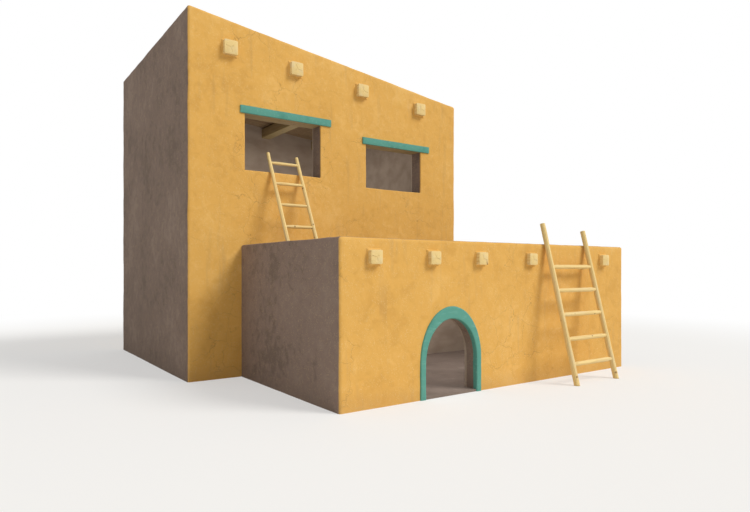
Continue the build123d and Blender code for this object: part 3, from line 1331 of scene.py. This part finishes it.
@dataclass
class HewnBeams:
    """Roof beams squared with the adze, with flats at their arrises and drying checks in their ends.

    Each check has its turn round the beam's axis, and its reach as a share of the way to the side.
    """

    flat: float = 0.03
    edge: float = 0.01
    edge_faces: int = 2
    step: float = 0.22
    spare: float = 0.007
    lumps: tuple[Lumps, ...] = (Lumps(0.5, 0.012),)
    sharpest: float = 35.0
    checks: tuple[tuple[float, float], ...] = ((0.35, 0.45), (2.3, 0.65), (4.4, 0.85))
    check_width: float = 0.006
    check_depth: float = 0.05
    check_heart: float = 0.012
    heart_spread: float = 0.05
    seed: int = 3
    stock: dict[tuple[float, float], Piece] = field(default_factory=dict)

    def one(self, size: float, length: float) -> Piece:
        """Model one beam about the origin, or take the one that is already made.

        Args:
            size: Width and height of the beam.
            length: Its length.

        Returns:
            The beam to copy.
        """
        key = (round(size, 3), round(length, 3))
        if key in self.stock:
            return self.stock[key]
        half, reach = size / 2, length / 2 - self.spare
        piece = add_block("beam_model", (-half, -reach, -half), (half, reach, half))
        bevel_where(piece, lambda e: runs_along(e, Y), self.flat, self.edge_faces)
        bevel_where(piece, lambda e: True, self.edge, self.edge_faces)
        slice_through(piece, self.step, (Y,))
        roughen(piece, self.lumps)
        for end in (-1, 1):
            for turn, share in self.checks:
                self.split_end(piece, end * reach, turn + end, half * share)
        smooth(piece, self.sharpest)
        remember_stick(piece)
        self.stock[key] = piece
        return piece

    def split_end(self, piece: Piece, end: float, turn: float, reach: float) -> None:
        """Cut one drying check into an end: a narrow split that runs outwards from beside the heart.

        Args:
            piece: The beam.
            end: Where the end is along the beam.
            turn: The way the check runs, round the beam's axis.
            reach: How far it runs from the heart.
        """
        wide, deep = self.check_width / 2, self.check_depth
        split = add_block("check", (-wide, end - deep, self.check_heart), (wide, end + deep, reach))
        cut_away(piece, copy_of(split, "check_cut", (0, 0, 0), (0, turn, 0)))
        bpy.data.objects.remove(split)

    def build(self, nodes: list[str], wood: Pine) -> None:
        """Model and dress the roof beams of one block.

        Args:
            nodes: The names of the beams' CAD nodes.
            wood: Finish of the beams.
        """
        draw = random.Random(self.seed)
        for node in nodes:
            low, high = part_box(node)
            model = self.one(high.x - low.x, high.y - low.y)
            name = node.replace("roof_beam", "hewn_beam")
            turn = (0, draw.randrange(4) * QUARTER_TURN, 0)
            piece = another_stick(model, name, (low + high) / 2, turn, draw, self.heart_spread)
            dress(piece, wood)
            hand_over(piece, Slot.PINE, node)
        for model in self.stock.values():
            bpy.data.objects.remove(model)


@dataclass
class BeamCollars:
    """Mud pressed with the thumb round each beam where it leaves the wall: a sloping fillet."""

    root: float = 0.1
    lip: float = 0.016
    proud: float = 0.036
    sunk: float = 0.05
    edge: float = 0.02
    edge_angle: float = 20.0
    step: float = 0.06
    lumps: tuple[Lumps, ...] = (Lumps(0.12, 0.018, middle=1.0),)
    sharpest: float = 60.0

    def build(self, name: str, beams: list[str], faces: dict[Side, float], plaster: MudPlaster) -> None:
        """Model and dress the collars of one block's beams.

        Args:
            name: The piece's name.
            beams: The names of the beams' CAD nodes.
            faces: Where the block's outer faces are along Y.
            plaster: Finish of the block's walls.
        """
        row = []
        for node in beams:
            low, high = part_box(node)
            for side, face in faces.items():
                tip = low.y if side is Side.FRONT else high.y
                if (tip - face) * side.value > self.proud:
                    row.append(self.one(low, high, face, side))
        piece = joined(row, name)
        round_arrises(piece, self.edge, self.edge_angle)
        slice_through(piece, self.step, (X, Z))
        roughen(piece, self.lumps)
        smooth(piece, self.sharpest)
        dress(piece, plaster)
        hand_over(piece, Slot.WASH)

    def one(self, low: Vector, high: Vector, face: float, side: Side) -> Piece:
        """Model one fillet: a block in the wall, whose outer face is drawn in to the beam.

        Args:
            low: The beam's lowest corner.
            high: Its highest corner.
            face: Where the wall's outer face is along Y.
            side: Which outer face it is.

        Returns:
            The fillet, on both sides of the beam's faces.
        """
        near, far = sorted((face - self.sunk * side.value, face + self.proud * side.value))
        rim = Vector((self.root, 0, self.root))
        piece = add_block("collar", Vector((low.x, near, low.z)) - rim, Vector((high.x, far, high.z)) + rim)
        size = high.x - low.x
        share = (size + 2 * self.lip) / (size + 2 * self.root)
        shares = (share, 1, share)
        heart = ((low.x + high.x) / 2, 0, (low.z + high.z) / 2)
        resize_where(piece, Element.FACE, lambda f: f.normal.y * side.value > FACING, shares, heart)
        return piece


@dataclass
class Lintels:
    """Window lintels of three squared timbers side by side, painted where they stand out of the wall."""

    timbers: int = 3
    gap: float = 0.004
    edge: float = 0.014
    edge_angle: float = 30.0
    step: float = 0.2
    lumps: tuple[Lumps, ...] = (Lumps(0.4, 0.008, middle=1.0),)
    sharpest: float = 35.0
    heart_spread: float = 0.1
    seed: int = 11

    def build(self, wood: Pine) -> None:
        """Model and dress the four lintels.

        Args:
            wood: Finish of the timbers, with the paint on their outer faces.
        """
        draw = random.Random(self.seed)
        for side in Side:
            for window in ("left", "right"):
                self.one(f"{side.name.lower()}_{window}_window_lintel", wood, draw)

    def one(self, node: str, wood: Pine, draw: random.Random) -> None:
        """Model one lintel's timbers, side by side through the wall.

        Args:
            node: The CAD node that it stands for.
            wood: Its finish.
            draw: The source of the differences between timbers.
        """
        low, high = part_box(node)
        thick = (high.y - low.y - self.gap * (self.timbers - 1)) / self.timbers
        reach, half = (high.x - low.x) / 2, (high.z - low.z) / 2
        model = add_block("timber_model", (-thick / 2, -reach, -half), (thick / 2, reach, half))
        round_arrises(model, self.edge, self.edge_angle)
        slice_through(model, self.step, (Y,))
        roughen(model, self.lumps)
        smooth(model, self.sharpest)
        remember_stick(model)
        row = []
        for number in range(self.timbers):
            y = low.y + thick / 2 + number * (thick + self.gap)
            place = ((low.x + high.x) / 2, y, (low.z + high.z) / 2)
            turn = (0, draw.choice((0.0, math.pi)), -QUARTER_TURN)
            row.append(another_stick(model, f"timber_{number}", place, turn, draw, self.heart_spread))
        bpy.data.objects.remove(model)
        piece = joined(row, node.replace("_window_lintel", "_lintel_timbers"))
        dress(piece, wood)
        hand_over(piece, Slot.PAINT, node)


@dataclass
class PoleLadder:
    """A ladder of two peeled poles, thicker at the foot, with shouldered rungs let into them."""

    name: str
    lean: float
    first_rung: float
    rung_count: int
    pitch: float = 0.6
    sides: int = 16
    rail_step: float = 0.16
    rail_lumps: tuple[Lumps, ...] = (Lumps(0.35, 0.012), Lumps(0.07, 0.005))
    tip_share: float = 0.92
    tip_round: float = 0.16
    tip_faces: int = 2
    rung_step: float = 0.1
    rung_lumps: tuple[Lumps, ...] = (Lumps(0.3, 0.01), Lumps(0.06, 0.005))
    neck: float = 0.11
    neck_share: float = 0.84
    sharpest: float = 50.0
    rail_spread: float = 0.02
    rung_spread: float = 0.03
    seed: int = 5

    def rail(self, node: str, wood: Pine, shift: Point) -> Vector:
        """Model one rail along its CAD solid's axis.

        Args:
            node: The rail's CAD node.
            wood: Its finish.
            shift: How far its grain and its lumps are moved.

        Returns:
            The middle of its foot.
        """
        low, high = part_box(node)
        radius = (high.x - low.x) / 2
        lean = math.radians(self.lean)
        foot = Vector(((low.x + high.x) / 2, low.y + radius / math.cos(lean), low.z))
        top_z = high.z - radius * math.sin(lean)
        buried = 2 * radius
        length = (top_z - foot.z) / math.cos(lean) + buried
        pole = add_pole("rail_model", radius, length, self.sides)
        tip = length / 2
        thinner = (self.tip_share, 1, self.tip_share)
        resize_where(pole, Element.POINT, lambda v: v.co.y > 0, thinner, (0, tip, 0))
        bevel_where(pole, lambda e: lies_at(e, Y, tip), radius * self.tip_round, self.tip_faces)
        slice_through(pole, self.rail_step, (Y,))
        roughen(pole, self.rail_lumps, shift[Y])
        smooth(pole, self.sharpest)
        remember_stick(pole, shift)
        along = Vector((0, math.sin(lean), math.cos(lean)))
        middle = foot + along * (tip - buried)
        piece = copy_of(pole, node.replace("_rail", "_pole"), middle, (QUARTER_TURN - lean, 0, 0))
        bpy.data.objects.remove(pole)
        cut_level(piece, low.z)
        dress(piece, wood)
        hand_over(piece, Slot.PINE, node)
        return foot

    def rungs(self, node: str, foot: Vector, wood: Pine, draw: random.Random) -> None:
        """Model the rungs, each shouldered where it enters the rails.

        Args:
            node: The rungs' CAD node.
            foot: The middle of a rail's foot.
            wood: Their finish.
            draw: The source of the differences between rungs.
        """
        low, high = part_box(node)
        length = high.x - low.x
        radius = (high.z - low.z - (self.rung_count - 1) * self.pitch) / 2
        rung = add_pole("rung_model", radius, length, self.sides)
        slice_through(rung, self.rung_step, (Y,))
        shoulder = length / 2 - self.neck
        slimmer = (self.neck_share, 1, self.neck_share)
        resize_where(rung, Element.POINT, lambda v: abs(v.co.y) > shoulder, slimmer, (0, 0, 0))
        roughen(rung, self.rung_lumps)
        smooth(rung, self.sharpest)
        remember_stick(rung)
        row = []
        for number in range(self.rung_count):
            height = self.first_rung + number * self.pitch
            y = foot.y + height * math.tan(math.radians(self.lean))
            place = ((low.x + high.x) / 2, y, foot.z + height)
            turn = (0, draw.uniform(0, ROLL), -QUARTER_TURN)
            row.append(another_stick(rung, f"rung_{number}", place, turn, draw, self.rung_spread))
        bpy.data.objects.remove(rung)
        piece = joined(row, node.replace("_rungs", "_rung_poles"))
        dress(piece, wood)
        hand_over(piece, Slot.PINE, node)

    def build(self, wood: Pine) -> None:
        """Model and dress the ladder.

        Args:
            wood: Finish of its poles.
        """
        draw = random.Random(self.seed)
        spread = self.rail_spread
        foot = Vector()
        for side in ("left", "right"):
            run = draw.uniform(-spread, spread), draw.uniform(1, GRAIN_RUN), draw.uniform(-spread, spread)
            foot = self.rail(f"{self.name}_{side}_rail", wood, run)
        self.rungs(f"{self.name}_rungs", foot, wood, draw)


@dataclass
class Ceiling:
    """A row of peeled poles side by side across the beams, no two quite alike."""

    node: str
    count: int
    pitch: float = 0.2
    thickness: float = 0.1
    lean: float = 0.0
    sides: int = 12
    tip_share: float = 0.88
    step: float = 0.6
    lumps: tuple[Lumps, ...] = (Lumps(0.5, 0.012),)
    sharpest: float = 60.0
    heart_spread: float = 0.03
    seed: int = 7

    def build(self, wood: Pine) -> None:
        """Model and dress the row of poles.

        Args:
            wood: Finish of the poles.
        """
        low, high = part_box(self.node)
        draw = random.Random(self.seed)
        length = (high.x - low.x) / math.cos(self.lean)
        pole = add_pole("pole_model", self.thickness / 2, length, self.sides)
        thinner = (self.tip_share, 1, self.tip_share)
        resize_where(pole, Element.POINT, lambda v: v.co.y > 0, thinner, (0, length / 2, 0))
        slice_through(pole, self.step, (Y,))
        roughen(pole, self.lumps)
        smooth(pole, self.sharpest)
        remember_stick(pole)
        row = []
        for number in range(self.count):
            place = (0, (number - (self.count - 1) / 2) * self.pitch, 0)
            heading = draw.choice((-1, 1)) * QUARTER_TURN
            turn = (0, draw.uniform(0, ROLL), heading)
            row.append(another_stick(pole, f"pole_{number}", place, turn, draw, self.heart_spread))
        bpy.data.objects.remove(pole)
        level = joined(row, "row_model")
        name = self.node.replace("_poles", "_ceiling_poles")
        piece = copy_of(level, name, (low + high) / 2, (0, self.lean, 0))
        bpy.data.objects.remove(level)
        dress(piece, wood)
        hand_over(piece, Slot.PINE, self.node)


@dataclass
class RoofEarth:
    """The rammed earth of a roof, uneven underfoot and turned up against the parapet."""

    node: str
    slope: float = 0.0
    turned_up: float = 0.05
    border: float = 0.2
    lap: float = 0.03
    edge: float = 0.03
    edge_angle: float = 8.0
    edge_faces: int = 2
    step: float = 0.22
    lumps: tuple[Lumps, ...] = (Lumps(1.1, 0.035),)
    sharpest: float = 60.0

    def build(self, earth: PackedEarth) -> None:
        """Model and dress the roof's earth.

        Args:
            earth: Finish of the earth.
        """
        low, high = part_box(self.node)
        lap = Vector((self.lap, self.lap, 0))
        fall = self.slope * (high.x - low.x)
        piece = add_block(self.node.replace("_earth", "_trodden_earth"), low - lap + UP * fall, high + lap)
        pick(piece, Element.POINT, lambda v: v.co.x > high.x)
        bpy.ops.transform.translate(value=(0, 0, -fall))
        pick(piece, Element.FACE, lambda f: f.normal.z > FACING)
        bpy.ops.mesh.inset(thickness=self.border, depth=0)
        bpy.ops.transform.translate(value=(0, 0, -self.turned_up))
        pick(piece, Element.FACE, lambda f: f.normal.z > FACING)
        bpy.ops.transform.translate(value=(0, 0, self.turned_up))
        round_arrises(piece, self.edge, self.edge_angle, self.edge_faces)
        slice_through(piece, self.step, (X, Y))
        roughen(piece, self.lumps)
        smooth(piece, self.sharpest)
        dress(piece, earth)
        hand_over(piece, Slot.EARTH, self.node)


@dataclass(frozen=True)
class RoomLight:
    """Soft light that fills a room, as open doors and windows on all sides would give it.

    It comes up from the floor under a ceiling that is seen from below, or down from the ceiling.
    """

    room: str
    upwards: bool
    watts: float
    spread: float = 0.7
    gap: float = 0.1

    def hang(self, record: dict) -> None:
        """Put the lamp into its room.

        Args:
            record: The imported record, which states the room.
        """
        room = Opening.named(record, self.room)
        data = bpy.data.lights.new("room_light", "AREA")
        data.shape = "RECTANGLE"
        data.size = (room.high.x - room.low.x) * self.spread
        data.size_y = (room.high.y - room.low.y) * self.spread
        data.energy = self.watts
        lamp = bpy.data.objects.new("room_light", data)
        lamp.location = (room.low + room.high) / 2
        lamp.location.z = room.low.z + self.gap if self.upwards else room.high.z - self.gap
        lamp.rotation_euler = (math.pi if self.upwards else 0.0, 0, 0)
        lamp.visible_camera = False
        bpy.context.scene.collection.objects.link(lamp)


@dataclass
class Studio:
    """Plain pale floor, plain soft light, and the camera where the picture was seen from."""

    eye: Point = (-4.518, -14.521, 2.849)
    turn: float = -0.616
    lens: float = 27.74
    sensor: float = 36.0
    rise: float = 0.01714
    view_end: float = 1000.0
    sky: float = 0.52
    sun: float = 2.2
    sun_way: Point = (0.46, -0.56, 0.69)
    sun_spread: float = 24.0
    floor_size: float = 400.0
    floor_tone: str = "#E9E6E0"
    floor_lift: float = 0.45
    clear_from: float = 12.0
    clear_to: float = 26.0
    room_lights: tuple[RoomLight, ...] = (
        RoomLight("tall_upper_room", upwards=True, watts=78.0),
        RoomLight("tall_upper_room", upwards=False, watts=40.0),
        RoomLight("low_room", upwards=False, watts=110.0),
    )

    def build(self, record: dict) -> None:
        """Set up the camera, the lights and the floor.

        Args:
            record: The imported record, which states the rooms.
        """
        self.set_camera()
        self.set_sky()
        self.set_sun()
        self.set_floor()
        for light in self.room_lights:
            light.hang(record)

    def set_camera(self) -> None:
        """Stand the camera before the house, level, from the tall block's front left corner."""
        corner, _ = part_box("tall_front_wall")
        data = bpy.data.cameras.new("view")
        data.lens = self.lens
        data.sensor_width = self.sensor
        data.shift_y = self.rise
        data.clip_end = self.view_end
        camera = bpy.data.objects.new("view", data)
        camera.location = (corner.x + self.eye[X], corner.y + self.eye[Y], self.eye[Z])
        camera.rotation_euler = (QUARTER_TURN, 0, self.turn)
        bpy.context.scene.collection.objects.link(camera)
        bpy.context.scene.camera = camera

    def seen(self, tree: Tree) -> Feed:
        """Tell whether a ray comes from the camera, as it is or by a glossy surface.

        Args:
            tree: The material's or the world's tree.

        Returns:
            1 where it does, and otherwise 0.
        """
        path = put(tree, "LightPath")
        rays = {0: path.outputs["Is Camera Ray"], 1: path.outputs["Is Glossy Ray"]}
        return put(tree, "Math", rays, operation="MAXIMUM")

    def set_sky(self) -> None:
        """Light the house by a soft sky, which is white where the camera sees it."""
        world = bpy.data.worlds.new("sky")
        world.use_nodes = True
        tree = world.node_tree
        tree.nodes.clear()
        through = put(tree, "LightPath").outputs["Is Transmission Ray"]
        seen = put(tree, "Math", {0: self.seen(tree), 1: through}, operation="MAXIMUM")
        level = put(tree, "MapRange", {"Value": seen, "To Min": self.sky, "To Max": 1.0})
        sky = put(tree, "Background", {"Color": (1.0, 1.0, 1.0, 1.0), "Strength": level})
        put(tree, "OutputWorld", {"Surface": sky})
        bpy.context.scene.world = world

    def set_sun(self) -> None:
        """Light the house by one wide soft sun from the front right."""
        data = bpy.data.lights.new("sun", "SUN")
        data.energy = self.sun
        data.angle = math.radians(self.sun_spread)
        lamp = bpy.data.objects.new("sun", data)
        lamp.rotation_euler = Vector(self.sun_way).to_track_quat("Z", "Y").to_euler()
        bpy.context.scene.collection.objects.link(lamp)

    def floor_material(self) -> bpy.types.Material:
        """Make a pale floor that keeps the shadow near the house and fades to the white background.

        Returns:
            The floor's material.
        """
        material, tree = blank_material("pale studio floor")
        spot = put(tree, "TexCoord").outputs["Object"]
        flat = put(tree, "VectorMath", {0: spot, 1: (1.0, 1.0, 0.0)}, operation="MULTIPLY")
        away = put(tree, "VectorMath", {0: flat}, operation="LENGTH")
        limits = {"Value": away, "From Min": self.clear_from, "From Max": self.clear_to}
        limits |= {"To Min": self.floor_lift, "To Max": 1.0}
        fade = put(tree, "MapRange", limits, interpolation_type="SMOOTHSTEP")
        share = put(tree, "Math", {0: self.seen(tree), 1: fade}, operation="MULTIPLY")
        matte = put(tree, "BsdfDiffuse", {"Color": linear(self.floor_tone)})
        white = put(tree, "Emission", {"Color": (1.0, 1.0, 1.0, 1.0), "Strength": 1.0})
        mixed = put(tree, "MixShader", {0: share, 1: matte, 2: white})
        put(tree, "OutputMaterial", {"Surface": mixed})
        return material

    def set_floor(self) -> None:
        """Lay the floor at the house's foot."""
        put_down()
        bpy.ops.mesh.primitive_plane_add(size=self.floor_size)
        floor = settle(bpy.context.object, "studio_floor")
        floor.data.materials.append(self.floor_material())


def finish_nodes(nodes: dict[str, Piece], finishes: dict[str, Finish]) -> None:
    """Give the CAD nodes that stay their finishes.

    Args:
        nodes: The CAD nodes by name.
        finishes: A finish for each node that stays.
    """
    for name, finish in finishes.items():
        node = nodes[name]
        material = finish.material()
        if not node.material_slots:
            node.data.materials.append(material)
        for place in node.material_slots:
            place.material = material
        LOG.info("%s: the CAD node stays, as %s", name, material.name)


def build_roofs(nodes: dict[str, Piece], plasters: dict[str, MudPlaster], smoke_and_shade: float) -> None:
    """Build the beams of both blocks, and the mud collars round them.

    Args:
        nodes: The CAD nodes by name.
        plasters: Each block's plaster.
        smoke_and_shade: How brown the beams are indoors, as soot stain and painted shade.
    """
    for block, plaster in plasters.items():
        faces = outer_faces(block)
        beams = sorted(name for name in nodes if name.startswith(f"{block}_roof_beam_"))
        HewnBeams().build(beams, Pine(name=f"hewn pine of the {block} roof", smoked_and_shaded=smoke_and_shade, **faces))
        sides = {Side.FRONT: faces["front"], Side.BACK: faces["back"]}
        BeamCollars().build(f"{block}_beam_collars", beams, sides, plaster)


def main() -> None:
    """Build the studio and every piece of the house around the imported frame."""
    logging.basicConfig(level=logging.INFO, format="%(name)s %(message)s")
    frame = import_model()
    nodes, record = frame["nodes"], frame["record"]
    bpy.context.scene.view_settings.view_transform = "Standard"
    Studio().build(record)

    # Share of the indoor brown on pine: part soot stain, part painted shade
    smoke_and_shade = 0.6
    paint = MilkPaint(name="turquoise milk paint on mud")
    milk = MilkPaint(name="turquoise milk paint on wood")
    pine = Pine(name="peeled pine, sun-bleached")
    painted_pine = Pine(
        name="hewn pine, milk-painted outside", paint=milk, smoked_and_shaded=smoke_and_shade, **outer_faces("tall")
    )
    # Indoor pine: a darker copy of the peeled pine, part soot stain, part painted shade of the dim rooms
    shaded_room_pine = Pine(
        name="peeled pine, sheltered", sapwood="#9A7F5E",
        latewood=Pine.latewood.dyed("#7F6547"), weathered=Pine.weathered.dyed("#8E7860"),
    )
    shaded_floor_pine = replace(shaded_room_pine, name="peeled pine, under the floor", fibre=Fibre.OBJECT)
    earth = PackedEarth()
    # Indoor floors: a darker, greyer copy of the roof earth, part rubbed mud, part painted shade of the dim
    # rooms
    floor = PackedEarth(
        name="mud floor, rubbed smooth", relief=0.006, earth="#85756A", damp=earth.damp.dyed("#75665B"),
        dusty=earth.dusty.dyed("#95857A"), gravel=earth.gravel.dyed("#6A5C52"),
    )
    inside = RoomWash()
    plasters = {
        "tall": MudPlaster(name="ochre clay wash on tall mud walls", **outer_faces("tall")),
        # The low block's bare mud, partly painted shade like the tall one's, is a little lighter to match
        # its shaded side
        "low": MudPlaster(name="ochre clay wash on low mud walls", mud="#8B776B", **outer_faces("low")),
    }

    windows = [Opening.named(record, f"back_{side}_window") for side in ("left", "right")]
    doorway = Doorway()
    tall = TallBlock()
    tall.build(windows, plasters["tall"], inside)
    LowBlock().build(doorway, plasters["low"], inside)
    doorway.build(paint)
    build_roofs(nodes, plasters, smoke_and_shade)
    Lintels().build(painted_pine)
    PoleLadder("front_ladder", lean=14.5, first_rung=0.5, rung_count=5).build(pine)
    PoleLadder("roof_ladder", lean=26.0, first_rung=0.54, rung_count=4, seed=8).build(pine)
    Ceiling("low_roof_poles", count=23).build(shaded_room_pine)
    Ceiling("tall_roof_poles", count=32, lean=math.atan(tall.roof_slope()), seed=17).build(shaded_room_pine)
    RoofEarth("tall_roof_earth", slope=tall.roof_slope()).build(earth)
    RoofEarth("low_roof_earth").build(earth)
    floors = {"upper_floor_earth": floor, "low_floor": floor}
    finish_nodes(nodes, {**floors, "upper_floor_beams": shaded_floor_pine, "upper_floor_poles": shaded_floor_pine})


if __name__ == "__main__":
    main()
